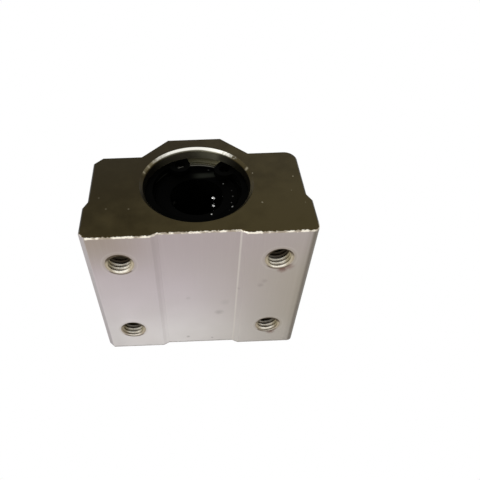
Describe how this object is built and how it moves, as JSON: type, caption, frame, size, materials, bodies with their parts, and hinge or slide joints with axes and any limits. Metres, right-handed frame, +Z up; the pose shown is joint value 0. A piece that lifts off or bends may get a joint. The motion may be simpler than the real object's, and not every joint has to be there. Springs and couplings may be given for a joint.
{
  "type": "linear bearing block",
  "caption": "Compact pillow housing for a round shaft, with a recirculating ball bearing held in its bore by internal circlips and tapped holes in its mounting face.",
  "frame": {"origin": "on the bore axis, at the lower end face of the block", "axes": "+Z up along the bore; +Y from the mounting face to the raised back; +X across the block"},
  "size_m": [0.04, 0.026, 0.035],
  "materials": {
    "housing_metal": "satin",
    "circlip_steel": "gloss",
    "bearing_steel": "ground",
    "ring_steel": "satin",
    "seal_rubber": "gloss",
    "cage_plastic": "satin",
    "ball_steel": "polished"
  },
  "bodies": {
    "block": {"housing": "housing_metal", "bearing_sleeve": "bearing_steel", "ball_cage": "cage_plastic", "end_ring_upper": "ring_steel", "end_ring_lower": "ring_steel", "seal_upper": "seal_rubber", "seal_lower": "seal_rubber", "circlip_upper": "circlip_steel", "circlip_lower": "circlip_steel"},
    "loaded_balls_1_body": {"loaded_balls_1": "ball_steel"},
    "return_balls_1_body": {"return_balls_1": "ball_steel"},
    "upper_turn_balls_1_body": {"upper_turn_balls_1": "ball_steel"},
    "lower_turn_balls_1_body": {"lower_turn_balls_1": "ball_steel"},
    "loaded_balls_2_body": {"loaded_balls_2": "ball_steel"},
    "return_balls_2_body": {"return_balls_2": "ball_steel"},
    "upper_turn_balls_2_body": {"upper_turn_balls_2": "ball_steel"},
    "lower_turn_balls_2_body": {"lower_turn_balls_2": "ball_steel"},
    "loaded_balls_3_body": {"loaded_balls_3": "ball_steel"},
    "return_balls_3_body": {"return_balls_3": "ball_steel"},
    "upper_turn_balls_3_body": {"upper_turn_balls_3": "ball_steel"},
    "lower_turn_balls_3_body": {"lower_turn_balls_3": "ball_steel"},
    "loaded_balls_4_body": {"loaded_balls_4": "ball_steel"},
    "return_balls_4_body": {"return_balls_4": "ball_steel"},
    "upper_turn_balls_4_body": {"upper_turn_balls_4": "ball_steel"},
    "lower_turn_balls_4_body": {"lower_turn_balls_4": "ball_steel"}
  },
  "joints": [
    {"name": "loaded_row_1", "type": "slide", "parent": "block", "child": "loaded_balls_1_body", "axis": [0, 0, 1], "range_m": [-0.00151, 0.00064]},
    {"name": "return_row_1", "type": "slide", "parent": "block", "child": "return_balls_1_body", "axis": [0, 0, 1], "range_m": [-0.00064, 0.00151]},
    {"name": "upper_turn_1", "type": "hinge", "parent": "block", "child": "upper_turn_balls_1_body", "pos_m": [0.00205, 0.00632, 0.02718], "axis": [0.3089, 0.9511, 0], "range_deg": [-18.01, 42.01]},
    {"name": "lower_turn_1", "type": "hinge", "parent": "block", "child": "lower_turn_balls_1_body", "pos_m": [0.00205, 0.00632, 0.00783], "axis": [0.3089, 0.9511, 0], "range_deg": [-18.01, 42.01]},
    {"name": "loaded_row_2", "type": "slide", "parent": "block", "child": "loaded_balls_2_body", "axis": [0, 0, 1], "range_m": [-0.00151, 0.00064]},
    {"name": "return_row_2", "type": "slide", "parent": "block", "child": "return_balls_2_body", "axis": [0, 0, 1], "range_m": [-0.00064, 0.00151]},
    {"name": "upper_turn_2", "type": "hinge", "parent": "block", "child": "upper_turn_balls_2_body", "pos_m": [-0.00632, 0.00205, 0.02718], "axis": [-0.9511, 0.3089, 0], "range_deg": [-18.01, 42.01]},
    {"name": "lower_turn_2", "type": "hinge", "parent": "block", "child": "lower_turn_balls_2_body", "pos_m": [-0.00632, 0.00205, 0.00783], "axis": [-0.9511, 0.3089, 0], "range_deg": [-18.01, 42.01]},
    {"name": "loaded_row_3", "type": "slide", "parent": "block", "child": "loaded_balls_3_body", "axis": [0, 0, 1], "range_m": [-0.00151, 0.00064]},
    {"name": "return_row_3", "type": "slide", "parent": "block", "child": "return_balls_3_body", "axis": [0, 0, 1], "range_m": [-0.00064, 0.00151]},
    {"name": "upper_turn_3", "type": "hinge", "parent": "block", "child": "upper_turn_balls_3_body", "pos_m": [-0.00205, -0.00632, 0.02718], "axis": [-0.3089, -0.9511, 0], "range_deg": [-18.01, 42.01]},
    {"name": "lower_turn_3", "type": "hinge", "parent": "block", "child": "lower_turn_balls_3_body", "pos_m": [-0.00205, -0.00632, 0.00783], "axis": [-0.3089, -0.9511, 0], "range_deg": [-18.01, 42.01]},
    {"name": "loaded_row_4", "type": "slide", "parent": "block", "child": "loaded_balls_4_body", "axis": [0, 0, 1], "range_m": [-0.00151, 0.00064]},
    {"name": "return_row_4", "type": "slide", "parent": "block", "child": "return_balls_4_body", "axis": [0, 0, 1], "range_m": [-0.00064, 0.00151]},
    {"name": "upper_turn_4", "type": "hinge", "parent": "block", "child": "upper_turn_balls_4_body", "pos_m": [0.00632, -0.00205, 0.02718], "axis": [0.9511, -0.3089, 0], "range_deg": [-18.01, 42.01]},
    {"name": "lower_turn_4", "type": "hinge", "parent": "block", "child": "lower_turn_balls_4_body", "pos_m": [0.00632, -0.00205, 0.00783], "axis": [0.9511, -0.3089, 0], "range_deg": [-18.01, 42.01]}
  ],
  "couplings": [
    {"joint": "return_row_1", "follows": "loaded_row_1", "ratio": -1},
    {"joint": "upper_turn_1", "follows": "loaded_row_1", "rad_per_m": -487.07},
    {"joint": "lower_turn_1", "follows": "loaded_row_1", "rad_per_m": -487.07},
    {"joint": "return_row_2", "follows": "loaded_row_2", "ratio": -1},
    {"joint": "upper_turn_2", "follows": "loaded_row_2", "rad_per_m": -487.07},
    {"joint": "lower_turn_2", "follows": "loaded_row_2", "rad_per_m": -487.07},
    {"joint": "return_row_3", "follows": "loaded_row_3", "ratio": -1},
    {"joint": "upper_turn_3", "follows": "loaded_row_3", "rad_per_m": -487.07},
    {"joint": "lower_turn_3", "follows": "loaded_row_3", "rad_per_m": -487.07},
    {"joint": "return_row_4", "follows": "loaded_row_4", "ratio": -1},
    {"joint": "upper_turn_4", "follows": "loaded_row_4", "rad_per_m": -487.07},
    {"joint": "lower_turn_4", "follows": "loaded_row_4", "rad_per_m": -487.07}
  ]
}
